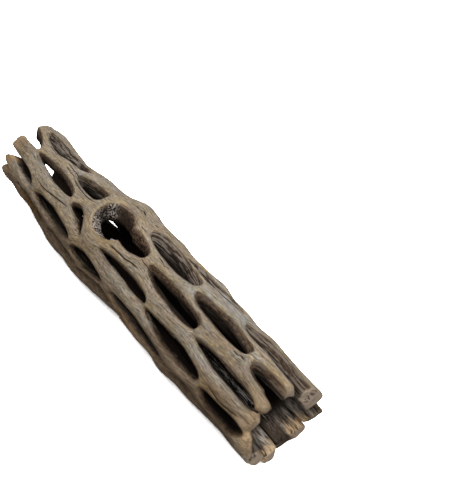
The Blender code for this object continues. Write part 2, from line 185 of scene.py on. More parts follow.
# The same: how clearly sawn, how fibrous on the inside, and how strong and deep the fresh orange wood. Low
# fibres are painted shade where a strand lies in shade, and raised fibres and fresh wood are painted light on
# a face in another strand's shadow.
NEAR_SAWN = [
    (-86, 1), (-20, 0.9), (5, 0.7), (18, 0.35), (58, 0.35), (66, 0), (86, 0), (92, 1), (240, 1),
]
NEAR_FIBRES_AND_LIGHT = [
    (-106, 0.25), (-86, 0.3), (120, 0.3), (138, 0.4), (143, 1), (172, 1), (177, 0), (198, 0),
    (203, 1), (225, 1), (230, 0.3), (235, 0.3), (240, 1), (251, 1),
]
NEAR_FRESH = [
    (-106, 0), (95, 0), (105, 0.35), (125, 0.35), (142, 0.8), (165, 0.9), (173, 0.8), (178, 0),
    (199, 0), (203, 1), (224, 1), (236, 0.9), (251, 0.9), (254, 0.1),
]
NEAR_FRESH_REACH = [(-106, 1), (120, 1), (142, 3), (165, 4.5), (199, 1), (206, 6.5), (240, 5)]
# The same for the worn, more orange wood at the tips of the near end and of the far end
NEAR_WORN = [
    (-40, 0), (-16, 0.25), (5, 0.3), (18, 0.4), (40, 0.6), (58, 0.6), (66, 0.8), (90, 0.8), (97, 0),
]
FAR_WORN = [(-90, 0.1), (-12, 0.1), (12, 0.8), (36, 0.8), (42, 1.2), (58, 1.2), (68, 0.4), (140, 0.3)]
# Dark rays in the sawn faces: the angles at which a bundle of them runs outwards
RAY_BUNDLES = (-49, 103, 243)
RAY_BUNDLE_REACH = 1.3

# Soft lumps of the outside and of the tunnel: height, number of waves, their lengths and turns
OUTER_LUMPS = ((0.22, 6, (18, 45), (1, 4)), (0.14, 8, (9, 18), (5, 11)))
TUNNEL_LUMPS = ((0.35, 7, (12, 34), (2, 7)),)

# Relief that the CAD part leaves out: height, and spacing along, across and into the wood
GRAIN_RELIEF = ((0.34, (12, 1.5, 1.5)), (0.2, (6, 0.8, 0.8)))
WALL_RELIEF = ((0.8, (9, 1.6, 1.2)), (0.45, (5, 0.9, 0.7)))
TUNNEL_RELIEF = ((0.8, (8, 1.7, 1.7)), (0.4, (4, 0.9, 0.9)))
TIP_RELIEF = ((0.6, (1.6, 1.6, 1.6)),)
PIT_RELIEF = ((0.55, (0.9, 0.9, 1.6)),)
FLOW_SHARE = 0.8  # how far the grain follows the holes round them
FLOW_REACH = 2.6  # how far from a hole it runs straight again
ROUGH_FROM = 1.2  # depth from which the holes' walls are fully rough
NEAR_RAGGED = 0.5  # how ragged the sawn tips are, as a share of the far ones
PIT_AT = (-7, 9)  # middle of the knot's pit, as (x, angle)
PIT_RADIUS = 8.4
PIT_EDGE = 1.5  # how softly the pit's relief and colours begin
PIT_FLECKS_AT = (-7.5, 4)  # where the cut fibres of the pit begin, and how far that takes
PIT_FLECKS_REACH = (5, 30)
PIT_TOP_AT, PIT_TOP_WIDTH = -0.6, 0.9  # brown rim over the pit: distance into the hole
PIT_TOP_LENGTH = 7.5  # how far it goes along the stick, each way
PIT_TOP_FROM, PIT_TOP_TO = -5, -40  # and its angles
LIP_HEIGHT, LIP_WIDTH = 0.35, 1.5  # smooth swollen lip round the pit
LIP_LEAST = 0.25  # how high it is on its low side, of its height
LIP_SMOOTH = 0.7  # how much of the grain relief it lacks

# Open cracks: (x, angle) along each, half width and depth
Crack = namedtuple("Crack", "points width depth")

CRACKS = [Crack(*row) for row in (
    (((-1.3, 29.1), (3.2, 28), (8.4, 27.1), (10.9, 24.7), (15.6, 23.5)), 0.15, 0.4),
    (((12.5, 12.8), (14.8, 14.4), (17.4, 13.8)), 0.08, 0.1),
    (((-50.5, 41.3), (-46, 43.6), (-41.5, 42.6), (-36, 39.6), (-31, 37), (-25, 35)), 0.14, 0.3),
    (((-38, 2), (-34, 5.6), (-30, 7.8), (-26.5, 9), (-22.5, 8.8), (-19, 7)), 0.12, 0.3),
    (((-48, -8.4), (-42, -7), (-36.3, -5.3)), 0.12, 0.1),
    (((-46.5, -1.8), (-41, -0.6), (-36.8, 1)), 0.09, 0.1),
    (((-64, -9.5), (-57.5, -8.2), (-52, -9)), 0.09, 0.1),
    (((23, -33), (30, -34.6), (38, -35.4), (43, -42), (47, -52)), 0.18, 0.4),
    (((57.5, 55.2), (61, 57.2), (64.5, 58.4), (68, 56.8), (71.5, 54.6)), 0.12, 0.1),
    (((71.8, 38.2), (73.6, 36), (76, 33.6)), 0.25, 0.7),
    (((58, 4.8), (61, 6.6)), 0.12, 0.1),
    (((56.8, 7.8), (60.2, 8.8)), 0.1, 0.1),
    (((15.5, -3.4), (19, -2.4), (22.5, -4.2)), 0.1, 0.1),
    (((18, -0.6), (21.5, -1.2)), 0.09, 0.1),
    (((-10.4, -29.4), (-7, -28.6)), 0.12, 0.1),
    (((-8, -34.2), (-6, -33), (-4.6, -30.8)), 0.22, 0.3),
    (((0.4, -33.4), (2.4, -34.4)), 0.18, 0.2),
    (((-4.6, -11.6), (-2.6, -10.8)), 0.1, 0.1),
    (((0.2, -14.8), (4.2, -14.2)), 0.1, 0.1),
)]
CHECK_COUNT = 26  # fine drying checks, spread by chance
CHECK_LENGTH = (2.5, 9)
CHECK_WIDTH = (0.05, 0.09)
CHECK_CLEAR = 8  # how far they keep from the cracks above
CRACK_REACH = 1.6  # how far from its line a crack is known to the material

# Places that differ from the rest, each with its reach: pale fibres on the far wall with a painted highlight
# where light comes through a hole, browner skin, skin torn down to the fibres, and tunnel wall that is brown,
# not black
Spot = namedtuple("Spot", "x deg along round")
SPOTS = {
    "silver": [Spot(54, 191, 9, 5), Spot(11, 184, 5, 2)],
    "brown_patches": [
        Spot(-24, 67, 8, 5), Spot(38, 68, 8, 4), Spot(64, 53, 7, 5), Spot(-71, 22, 4, 9), Spot(0, 52, 6, 5),
    ],
    "torn_skin": [Spot(66, -39.5, 8, 2.5)],
    "brown_pith": [Spot(-66, 210, 7, 35)],
}
# Skin that is darker (share under 1) or lighter than the rest: partly the wood's own tone, partly painted
# shade and painted light
Tone = namedtuple("Tone", "x deg along round share")
TONES = [Tone(*row) for row in (
    (-24, 68, 6, 6, 0.5), (-8, -25, 5, 6, 0.82), (51, 15, 6, 8, 0.78), (65, 16, 7, 7, 0.7),
    (35, 38, 9, 8, 0.86), (-17, 10, 4, 12, 0.86), (-4, 47, 6, 8, 0.83), (28, 0, 9, 6, 0.88),
    (63, 54, 8, 8, 0.84), (37, 68, 8, 5, 0.78), (66, -38, 7, 4, 0.72), (-52, 85, 10, 8, 0.72),
    (60, 92, 8, 12, 0.65), (75, 74, 3, 12, 1.6), (-64, 73, 5, 7, 1.4), (26, 95, 6, 7, 1.4),
    (77.5, 1, 4, 7, 1.3), (31.5, -45, 6, 7, 1.3), (21.5, -31, 5, 6, 1.25), (-7, -13, 5, 6, 1.25),
    (-3, 61, 5, 6, 1.2), (-42, -25, 5, 6, 1.2), (77.5, 53, 4, 7, 1.15), (10.5, -13, 5, 6, 1.12),
    (52.5, 3, 4, 5, 1.15), (-44.5, 99, 6, 8, 0.75), (67.5, -45, 5, 8, 0.8), (14.5, 47, 5, 7, 0.78),
    (-48.5, 55, 5, 7, 0.78), (-22.5, 35, 5, 7, 0.8), (69.5, 39, 5, 6, 0.82), (-16, 55, 5, 6, 0.86),
    (15, 19, 5, 6, 0.85), (-60.5, 25, 5, 8, 0.85), (6.5, -45, 5, 7, 0.88),
)]
# Skin that is more ochre (share over 0) or greyer (under 0) than the rest
PLAIN_TINT = -0.015
OCHRE_BLUE = 2.7  # how much more of the blue than of the green goes
TINTS = [Tone(*row) for row in (
    (-53.5, 99, 6, 9, 0.22), (-5, 27, 5, 7, 0.15), (60.5, 59, 6, 8, 0.11), (-14.5, 53, 5, 8, 0.07),
    (77.5, -21, 5, 8, 0.1), (15.5, 99, 5, 8, 0.1), (72, 31, 5, 8, 0.06), (10.5, 3, 5, 8, 0.05),
    (-36, 47, 5, 8, 0.04), (55, 11, 4, 6, 0.07), (-67, -27, 5, 8, 0.05), (24.5, -35, 5, 7, 0.04),
    (-34, -11, 6, 9, -0.11), (50.5, -33, 7, 9, -0.14), (37.5, -11, 6, 9, -0.14), (-78, -45, 5, 9, -0.11),
    (-30, -45, 5, 9, -0.08), (62.5, 3, 5, 7, -0.07), (36.5, -45, 5, 9, -0.12), (56, 37, 5, 8, -0.07),
    (5.5, 45, 5, 8, -0.07), (45, 47, 5, 8, -0.07), (-59, -45, 5, 8, -0.06), (-50, 19, 5, 7, -0.12),
    (66.5, 41, 4, 6, -0.06), (-65.5, 49, 5, 7, -0.05),
)]
# Brown wood that runs down from the knot's pit into the hole beside it
PIT_TAIL = [Spot(4.5, -1, 5, 5)]

BLEACHED_DEG = -14  # middle of the bleached side
# the brown of the sides is partly the wood's own, less bleached colour and partly painted shade
BROWN_FROM, BROWN_TO = 70, 100  # turn from there at which the skin becomes brown
BROWN_CLEAR = 4  # how far the brown keeps from the near tips
BLEACHED_FROM = -12  # the skin is greyer at smaller angles than this
BLEACHED_OVER = 15  # over so many degrees
WORN_REACH, WORN_DEPTH = 7, 3  # how far from the tips the wood is worn, and how far inwards
FIBRE_REACH = 11  # how far from the near tips the strands are fibrous inside
DAYLIGHT_FROM = 64  # where the light of the near end begins to reach the tunnel's wall
SIDE_BLUR = 6  # how often the map of the holes' two sides is smoothed
LIT_DEPTH = 1.3  # how far down a lit wall the skin goes on
LIT_SHIFT = 8  # how far inwards that moves the dark's edge
ROUGH_EDGE = 0.5  # how far outside the holes the dark begins on the side of the smaller angles
UNEVEN_EDGE = 1.5  # how ragged the edges between skin, wall and tunnel are
BUMP_HEIGHT = 0.4  # of the finest relief, which is in the material

# Photograph's camera, and the light and the ground, whose measures are metres
CAMERA_AT = (145.3, -67.96, 163.29)
CAMERA_AZIMUTH = 52.897
CAMERA_PITCH = 42.163
FOCAL_LENGTH = 47.16
SENSOR_WIDTH = 36
LIGHT_AT = (0.12, 0.05, 0.46)
LIGHT_SIZE = 0.5
LIGHT_WATTS = 2.6
SKY_LIGHT = 0.3
FLOOR_HALF = 3
FLOOR_TO_WOOD = (0.3, 0.3, 0.3)
FLOOR_TO_CAMERA = (5, 5, 5)

# Colours, linear
WHITE = (1, 1, 1)
TAN = (0.335, 0.254, 0.166)
GREY = (0.314, 0.265, 0.203)
GREENISH = (0.262, 0.236, 0.176)
MAUVE = (0.328, 0.252, 0.197)
OCHRE = (0.335, 0.24, 0.125)
COLLAR = (0.4, 0.31, 0.19)
BROWN = (0.17, 0.108, 0.062)
LINE = (0.075, 0.05, 0.032)
# dark brown of the holes' edges, where it is painted shade, and of the brown rim over the knot's pit
RIM = (0.075, 0.049, 0.03)
# the near-black wall and pith colours are painted shade, and the brown wall colour is kept dark by painted
# shade
WALL_SHADE = (0.005, 0.003, 0.002)
WALL_BROWN = (0.074, 0.046, 0.027)
WALL_GREY = (0.035, 0.026, 0.02)
WALL_FIBRE = (0.3, 0.25, 0.205)
END_WALL = (0.105, 0.074, 0.05)
END_GREY = (0.17, 0.138, 0.112)
END_FIBRE = (0.66, 0.58, 0.5)
PITH_SHADE = (0.012, 0.008, 0.006)
PITH_BROWN = (0.062, 0.042, 0.028)
SILVER_HIGHLIGHT = (0.85, 0.79, 0.71)
CRACK_SHADE = (0.022, 0.015, 0.01)
SAWN = (0.52, 0.41, 0.31)
FRESH = (0.84, 0.59, 0.35)
WORN = (0.45, 0.29, 0.15)
BROKEN = (0.075, 0.052, 0.036)
RAY = (0.07, 0.05, 0.044)
FLECK = (0.56, 0.49, 0.425)
PIT_DARK = (0.024, 0.016, 0.012)
PIT_BROWN = (0.04, 0.027, 0.02)
PIT_RED = (0.23, 0.145, 0.092)

CORNERS = [(a, b, c) for a in (0, 1) for b in (0, 1) for c in (0, 1)]
CELL_EDGES = [
    (p, q) for p in range(8) for q in range(p + 1, 8)
    if sum(abs(m - n) for m, n in zip(CORNERS[p], CORNERS[q])) == 1
]


def turn_between(a, b):
    """Signed difference of two angles, in -180 to 180 degrees."""
    return (a - b + 180) % 360 - 180


def hidden_holes():
    """Lattice holes on the side turned away, each a little out of place."""
    rng = random.Random(SEED)
    made = []
    for i in range(-12, 16):
        for j in range(-10, 11):
            x = LATTICE_START[0] + i * TURN_STEP[0] + j * ROW_STEP[0]
            deg = LATTICE_START[1] + i * TURN_STEP[1] + j * ROW_STEP[1]
            if not (HIDDEN_FROM < deg < HIDDEN_TO and HIDDEN_LEFT < x < HIDDEN_RIGHT):
                continue
            near_other = any(
                abs(x - h.x) < 0.5 * (h.length + HIDDEN_LENGTH) - 6
                and abs(turn_between(deg, h.deg)) < 0.5 * (h.width + HIDDEN_WIDTH) + 3
                for h in HOLES + made
            )
            if near_other:
                continue
            made.append(Hole(
                x + rng.uniform(-1.2, 1.2), deg + rng.uniform(-2, 2),
                HIDDEN_LENGTH * rng.uniform(0.85, 1.08), HIDDEN_WIDTH * rng.uniform(0.85, 1.15),
                lean=rng.uniform(1, 4.5), bow=rng.uniform(-2, 2), egg=rng.uniform(-0.1, 0.3),
                far=rng.uniform(1, 1.3), near=rng.uniform(0.7, 1.2), **HIDDEN_WALL,
            ))
    return made


def half_width(hole, u):
    """Half the hole's width in degrees at u, which runs from -1 at its far end to 1 at its near end."""
    power = np.where(u < 0, hole.far, hole.near)
    rise = np.sqrt(np.clip(1 - u * u, 0, 1))
    return 0.5 * hole.width * rise ** power * (1 + hole.egg * u)


def middle_line(hole, u):
    return hole.deg + hole.lean * u + hole.bow * u * u


def hole_outline(hole, count=56):
    """Points round the hole, laid flat in millimetres."""
    u = np.cos(np.linspace(0, 2 * math.pi, count, endpoint=False))
    side = np.where(np.arange(count) < count / 2, 1, -1)
    deg = middle_line(hole, u) + side * half_width(hole, u)
    return hole.x + 0.5 * hole.length * u, np.radians(deg) * SPREAD_RADIUS


def distance_into(hole, xs, degs, reach=5.0):
    """Signed distance from the hole's outline on the flat grid: positive inside, -reach far outside."""
    depth = np.full((len(xs), len(degs)), -reach)
    rows = np.where(np.abs(xs - hole.x) < 0.5 * hole.length + reach)[0]
    turn = turn_between(degs, hole.deg)
    spread = 0.5 * hole.width + abs(hole.lean) + abs(hole.bow) + math.degrees(reach / SPREAD_RADIUS)
    cols = np.where(np.abs(turn) < spread)[0]
    if not len(rows) or not len(cols):
        return depth
    x = np.repeat(xs[rows], len(cols))
    deg = np.tile(hole.deg + turn[cols], len(rows))
    flat = np.radians(deg) * SPREAD_RADIUS
    px, ps = hole_outline(hole)
    least = np.full(len(x), 1e9)
    for ax, a_s, bx, bs in zip(px, ps, np.roll(px, -1), np.roll(ps, -1)):
        ex, es = bx - ax, bs - a_s
        along = np.clip(((x - ax) * ex + (flat - a_s) * es) / (ex * ex + es * es + 1e-12), 0, 1)
        least = np.minimum(least, np.hypot(x - ax - along * ex, flat - a_s - along * es))
    u = (x - hole.x) / (0.5 * hole.length)
    inside = (np.abs(u) < 1) & (np.abs(deg - middle_line(hole, u)) < half_width(hole, u))
    signed = np.where(inside, least, -np.minimum(least, reach))
    depth[np.ix_(rows, cols)] = signed.reshape(len(rows), len(cols))
    return depth


def swelling(part, x, deg):
    rise = part.height * np.exp(-0.5 * ((x - part.x) / part.along) ** 2)
    if part.round:
        rise = rise * np.exp(-0.5 * (turn_between(deg, part.deg) / part.round) ** 2)
    return rise


def waves(x, deg, count, along, turns, seed):
    """Soft lumps: a sum of waves that close round the stick, about 1 high at most."""
    rng = random.Random(seed)
    total = np.zeros(np.broadcast(x, deg).shape)
    for _ in range(count):
        k = 2 * math.pi / rng.uniform(*along)
        n = rng.randint(*turns) * rng.choice((-1, 1))
        total = total + np.sin(k * x + n * np.radians(deg) + rng.uniform(0, 2 * math.pi))
    return total / math.sqrt(count)


def by_angle(table, degs):
    """The value at each angle between those in a table of (angle, value)."""
    angles, values = np.array(table, float).T
    order = np.argsort(angles % 360)
    return np.interp(degs % 360, angles[order] % 360, values[order], period=360)


def rounded_max(a, b, rounding):
    """The greater of two fields, with the edge where they meet rounded."""
    near = np.hypot(np.maximum(rounding + a, 0), np.maximum(rounding + b, 0))
    return np.minimum(-rounding, np.maximum(a, b)) + near


def smooth_step(t):
    t = np.clip(t, 0, 1)
    return t * t * (3 - 2 * t)


def noise(points, spacing, seed):
    """Smooth noise from -0.5 to 0.5 at each point, with one lump per spacing along each axis."""
    size = 64
    table = np.random.default_rng(seed).random((size, size, size)).astype(np.float32) - 0.5
    at = points / np.array(spacing)
    cell = np.floor(at).astype(int)
    t = smooth_step(at - cell)
    total = np.zeros(at.shape[:-1])
    for corner in CORNERS:
        i, j, k = np.moveaxis((cell + corner) % size, -1, 0)
        a, b, c = (t[..., n] if far else 1 - t[..., n] for n, far in enumerate(corner))
        total += a * b * c * table[i, j, k]
    return total


def relief(points, layers, seed):
    return sum(height * noise(points, spacing, seed + n) for n, (height, spacing) in enumerate(layers))


def grain_line(holes, x, deg):
    """Number of the grain line through each place, in millimetres round the stick. The lines part in
    front of each hole and close behind it."""
    moved = np.zeros(np.broadcast(x, deg).shape)
    for hole in holes:
        u = (x - hole.x) / (0.5 * hole.length)
        beside = np.abs(u) < 1
        half = np.where(beside, half_width(hole, np.clip(u, -1, 1)), 0) * PER_DEGREE
        across = turn_between(deg, middle_line(hole, np.clip(u, -1, 1))) * PER_DEGREE
        past = np.maximum(np.abs(across) - half, 0)
        moved = moved + np.clip(across, -half, half) * np.exp(-past / FLOW_REACH)
    return turn_between(deg, 0) * PER_DEGREE - FLOW_SHARE * moved


def drying_checks(holes):
    """Fine cracks that follow the grain, placed by chance."""
    rng = random.Random(SEED + 20)
    made = []
    placed = np.array([point for crack in CRACKS for point in crack.points])
    while len(made) < CHECK_COUNT:
        x, deg = rng.uniform(-78, 74), rng.uniform(-180, 180)
        near = np.abs(placed[:, 0] - x - 3) < CHECK_CLEAR
        if (near & (np.abs(turn_between(deg, placed[:, 1])) < 2 * CHECK_CLEAR)).any():
            continue
        length, width = rng.uniform(*CHECK_LENGTH), rng.uniform(*CHECK_WIDTH)
        points = [(x, deg)]
        for _ in range(max(2, int(length / 2))):
            here = np.array([x, x + 0.5, x]), np.array([deg, deg, deg + 1])
            line, ahead, aside = grain_line(holes, *here)
            turn = -((ahead - line) / 0.5) / max(aside - line, 0.05)
            x += 2
            deg += float(np.clip(2 * turn, -7, 7)) + rng.uniform(-0.5, 0.5)
            points.append((x, deg))
        made.append(Crack(tuple(points), width, 0))
    return made


def crack_lines(cracks, x, deg):
    """For each place: distance across from the nearest crack in its half widths, with its sign, how open
    the crack is there, from 0 to 1, and how deep."""
    across, share, deep = np.zeros((3, *x.shape))
    for crack in cracks:
        px, pd = np.array(crack.points, float).T
        steps = np.hypot(np.diff(px), np.diff(pd) * PER_DEGREE)
        starts = np.concatenate([[0], np.cumsum(steps)])
        near = (x > px.min() - 2) & (x < px.max() + 2)
        near &= np.abs(turn_between(deg, pd.mean())) < 0.5 * np.ptp(pd) + 9
        if not near.any():
            continue
        qx = x[near]
        qs = (pd.mean() + turn_between(deg[near], pd.mean())) * PER_DEGREE
        best, side, along = np.full(qx.shape, 1e9), 0, 0
        for n, step in enumerate(steps):
            ex, es = (px[n + 1] - px[n]) / step, (pd[n + 1] - pd[n]) * PER_DEGREE / step
            dx, ds = qx - px[n], qs - pd[n] * PER_DEGREE
            t = np.clip(dx * ex + ds * es, 0, step)
            away = np.hypot(dx - t * ex, ds - t * es)
            closer = away < best
            best = np.where(closer, away, best)
            side = np.where(closer, np.sign(dx * es - ds * ex), side)
            along = np.where(closer, starts[n] + t, along)
        part = along / starts[-1]
        taper = np.clip(4 * part * (1 - part), 0, 1)
        open_here = taper * smooth_step(2 * (1 - best / CRACK_REACH))
        groove = crack.depth * taper * np.exp(-0.5 * (best / max(crack.width, 0.3)) ** 2)
        stronger = open_here > share[near]
        across[near] = np.where(stronger, side * best / crack.width, across[near])
        share[near] = np.where(stronger, open_here, share[near])
        deep[near] = np.maximum(groove, deep[near])
    return across, share, deep


def from_pit(x, deg):
    """Distance from the middle of the knot's pit, measured on the outside."""
    return np.hypot(x - PIT_AT[0], PER_DEGREE * turn_between(deg, PIT_AT[1]))


def knot_collar(x, deg):
    """Smooth swollen lip round the knot's pit, higher on the side towards -X and greater angles."""
    away = from_pit(x, deg)
    lip = np.exp(-0.5 * ((away - PIT_RADIUS) / LIP_WIDTH) ** 2)
    lean = 0.5 - 0.5 * (x - PIT_AT[0]) / np.maximum(away, 1)
    return lip * (LIP_LEAST + (1 - LIP_LEAST) * lean)


def with_lumps(radius, x, deg, layers, seed):
    for n, (height, *shape) in enumerate(layers):
        radius = radius + height * waves(x, deg, *shape, seed + n)
    return radius


def plain_radius(x, deg):
    """Outer radius before the fine relief, as in the CAD part."""
    radius = BASE_RADIUS + sum(swelling(part, x, deg) for part in SWELLINGS)
    radius = with_lumps(radius, x, deg, OUTER_LUMPS, SEED + 1)
    under = np.exp(-((turn_between(deg, 180) / FOOT_REACH) ** 4))
    return radius + under * (FOOT_RADIUS - radius)


def outer_radius(x, deg, line, groove):
    lip = knot_collar(x, deg)
    places = np.stack([x, line, np.zeros(x.shape)], axis=-1)
    grain = (1 - LIP_SMOOTH * lip) * relief(places, GRAIN_RELIEF, SEED + 30)
    return plain_radius(x, deg) + LIP_HEIGHT * lip + grain - groove


def tunnel_radius(x, deg):
    radius = TUNNEL_RADIUS + sum(swelling(part, x, deg) for part in TUNNEL_SWELLINGS)
    radius = with_lumps(radius, x, deg, TUNNEL_LUMPS, SEED + 3)
    places = np.stack([x, np.radians(deg) * TUNNEL_RADIUS, np.zeros(x.shape)], axis=-1)
    return radius + relief(places, TUNNEL_RELIEF, SEED + 40)


def on_grid(values, xs, degs, x, deg):
    """Values known on the flat grid, at any places between its points."""
    row = np.clip((x - xs[0]) / (xs[1] - xs[0]), 0, len(xs) - 1.001)
    col = ((deg - degs[0]) / (degs[1] - degs[0])) % len(degs)
    i, j = row.astype(int), col.astype(int) % len(degs)
    s, t = row - i, col - np.floor(col)
    after = (j + 1) % len(degs)
    low = values[i, j] * (1 - t) + values[i, after] * t
    high = values[i + 1, j] * (1 - t) + values[i + 1, after] * t
    return low * (1 - s) + high * s


def hole_maps(holes, depths, xs, degs):
    """On the flat grid: the distance into the holes, the side of its hole on which a place is (over zero
    towards the greater angles), and how pale and how lit that hole's wall is."""
    mouth, nearest = depths.max(axis=0), depths.argmax(axis=0)
    step = math.radians(degs[1] - degs[0]) * SPREAD_RADIUS
    side = (np.roll(mouth, 1, axis=1) - np.roll(mouth, -1, axis=1)) / (2 * step)
    for _ in range(SIDE_BLUR):
        side = (side + np.roll(side, 1, axis=1) + np.roll(side, -1, axis=1)) / 3
        side[1:-1] = (side[:-2] + side[1:-1] + side[2:]) / 3
    pale, lit = np.array([(hole.pale, hole.lit) for hole in holes]).T[:, nearest]
    return {"mouth": mouth, "side": side, "wall_pale": pale, "wall_lit": lit * np.clip(1.6 * side, 0, 1)}


def wood_field(holes, cracks, depths, xs, degs, radii):
    """The field over the grid: under zero in the wood, over zero outside it."""
    mouth = depths.max(axis=0)
    throat = np.max([d - hole.flare for d, hole in zip(depths, holes)], axis=0)
    x, deg = np.meshgrid(xs, degs, indexing="ij")
    line = grain_line(holes, x, deg)
    groove = crack_lines(cracks, x, deg)[2]
    outside = radii - outer_radius(x, deg, line, groove)[..., None]
    inside = tunnel_radius(x, deg)[..., None] - radii
    deep = smooth_step(-outside / FLARE_DEPTH)
    hole = mouth[..., None] + deep * (throat - mouth)[..., None]
    places = np.stack(np.broadcast_arrays(x[..., None], line[..., None], -outside), axis=-1)
    rough = relief(places, WALL_RELIEF, SEED + 50)
    flat = PER_DEGREE * deg
    places = np.stack(np.broadcast_arrays(x[..., None], flat[..., None], -outside), axis=-1)
    in_pit = smooth_step((PIT_RADIUS + 2 - from_pit(x, deg)) / PIT_EDGE)[..., None]
    rough = rough + in_pit * (relief(places, PIT_RELIEF, SEED + 55) - 0.6 * rough)
    hole = hole + smooth_step(-outside / ROUGH_FROM) * rough
    wood = np.maximum(rounded_max(outside, hole, RIM_ROUNDING), rounded_max(inside, hole, INNER_ROUNDING))
    ragged = relief(places, TIP_RELIEF, SEED + 60)
    past_far = (by_angle(FAR_TIPS, degs) - x)[..., None] + ragged
    past_near = (x - by_angle(NEAR_TIPS, degs))[..., None] + NEAR_RAGGED * ragged
    wood = rounded_max(wood, past_far, FAR_ROUNDING)
    wood = rounded_max(wood, past_near, by_angle(NEAR_ROUNDS, degs)[:, None])
    height = AXIS_HEIGHT + radii * np.cos(np.radians(degs))[:, None]
    return rounded_max(wood, -height, FOOT_ROUNDING)


def fill_diagonals(field):
    """Fills grid squares that are wood only at two opposite corners. The surface would touch itself there."""
    field = field.copy()
    for _ in range(4):
        for one, two in ((0, 1), (0, 2), (1, 2)):
            solid = field < 0
            right = np.roll(solid, -1, axis=one)
            up = np.roll(solid, -1, axis=two)
            across = np.roll(right, -1, axis=two)
            diagonal = (solid == across) & (right == up) & (solid != right)
            for shift_one, shift_two in ((0, 0), (1, 0), (0, 1), (1, 1)):
                there = np.roll(np.roll(diagonal, shift_one, axis=one), shift_two, axis=two)
                field = np.where(there & (field >= 0), -0.02, field)
    return field


def surface_of(field):
    """Vertices in grid units and the quads between them, where the field is zero. Round the stick the
    grid closes on itself."""
    nx, nt, nr = field.shape
    solid = field < 0
    wrapped = np.concatenate([solid, solid[:, :1]], axis=1)
    total = sum(wrapped[a:nx - 1 + a, b:nt + b, c:nr - 1 + c].astype(np.int8) for a, b, c in CORNERS)
    cells = np.argwhere((total > 0) & (total < 8))
    number = np.full((nx - 1, nt, nr - 1), -1)
    number[tuple(cells.T)] = np.arange(len(cells))
    values = np.stack([
        field[cells[:, 0] + a, (cells[:, 1] + b) % nt, cells[:, 2] + c] for a, b, c in CORNERS
    ], axis=1)
    places = np.zeros((len(cells), 3))
    crossings = np.zeros(len(cells))
    for p, q in CELL_EDGES:
        low, high = values[:, p], values[:, q]
        crossed = (low < 0) != (high < 0)
        share = np.where(crossed, low / np.where(crossed, low - high, 1), 0)
        start, end = np.array(CORNERS[p], float), np.array(CORNERS[q], float)
        places += crossed[:, None] * (start + share[:, None] * (end - start))
        crossings += crossed
    places = cells + places / crossings[:, None]
    return places, np.concatenate([quads_across(solid, number, axis) for axis in range(3)])


def quads_across(solid, number, axis):
    """One quad for each grid edge along the axis that crosses the surface."""
    ahead = np.roll(solid, -1, axis=axis)
    changes = solid != ahead
    if axis != 1:
        changes[tuple(slice(-1, None) if n == axis else slice(None) for n in range(3))] = False
    edges = np.argwhere(changes)
    leaving = solid[tuple(edges.T)]
    one, two = (axis + 1) % 3, (axis + 2) % 3
    corners = []
    for back_one, back_two in ((0, 0), (1, 0), (1, 1), (0, 1)):
        cell = edges.copy()
        cell[:, one] -= back_one
        cell[:, two] -= back_two
        cell[:, 1] %= solid.shape[1]
        corners.append(number[tuple(cell.T)])
    quads = np.stack(corners, axis=1)
    return np.where(leaving[:, None], quads, quads[:, ::-1])


def near_spots(spots, x, deg):
    """1 in the middle of the spots, 0 away from them."""
    near = np.zeros(x.shape)
    for spot in spots:
        turn = turn_between(deg, spot.deg) / spot.round
        near = np.maximum(near, np.exp(-0.5 * (((x - spot.x) / spot.along) ** 2 + turn ** 2)))
    return near


def skin_tone(x, deg):
    """What the skin's colour is multiplied by, which is partly painted shade and painted light."""
    tone = np.ones(len(x))
    for part in TONES:
        tone = tone * (1 + (part.share - 1) * near_spots([part], x, deg))
    ochre = PLAIN_TINT + sum(part.share * near_spots([part], x, deg) for part in TINTS)
    return np.stack([tone, tone * (1 - ochre), tone * (1 - OCHRE_BLUE * ochre)], axis=1)


def end_values(x, deg, depth):
    """Sawn, torn and worn wood at the two ends, and the brown side, partly painted shade, which stops before
    them.
    """
    past_far, past_near = by_angle(FAR_TIPS, deg) - x, x - by_angle(NEAR_TIPS, deg)
    worn = smooth_step(1.3 + past_far / WORN_REACH) * by_angle(FAR_WORN, deg)
    worn = worn + smooth_step(1.1 + past_near / WORN_REACH) * by_angle(NEAR_WORN, deg)
    bundle = np.min([np.abs(turn_between(deg, at)) for at in RAY_BUNDLES], axis=0) * PER_DEGREE
    turned = np.abs(turn_between(deg, BLEACHED_DEG))
    brown = smooth_step((turned - BROWN_FROM) / (BROWN_TO - BROWN_FROM))
    return {
        "sawn": smooth_step(1 + (past_near - 0.1) / 0.4) * by_angle(NEAR_SAWN, deg),
        "pale": by_angle(NEAR_PALE, deg),
        "fibres": by_angle(NEAR_FIBRES_AND_LIGHT, deg) * smooth_step((past_near + FIBRE_REACH) / 5),
        "fresh": by_angle(NEAR_FRESH, deg),
        "frayed": 1 + past_near / by_angle(NEAR_FRESH_REACH, deg),
        "worn": worn * smooth_step(1.5 - depth / WORN_DEPTH),
        "rays": smooth_step(1.5 - bundle / RAY_BUNDLE_REACH),
        "brown": brown * smooth_step((-past_near - BROWN_CLEAR) / 3),
        "daylight": smooth_step((x - DAYLIGHT_FROM) / 8),
    }


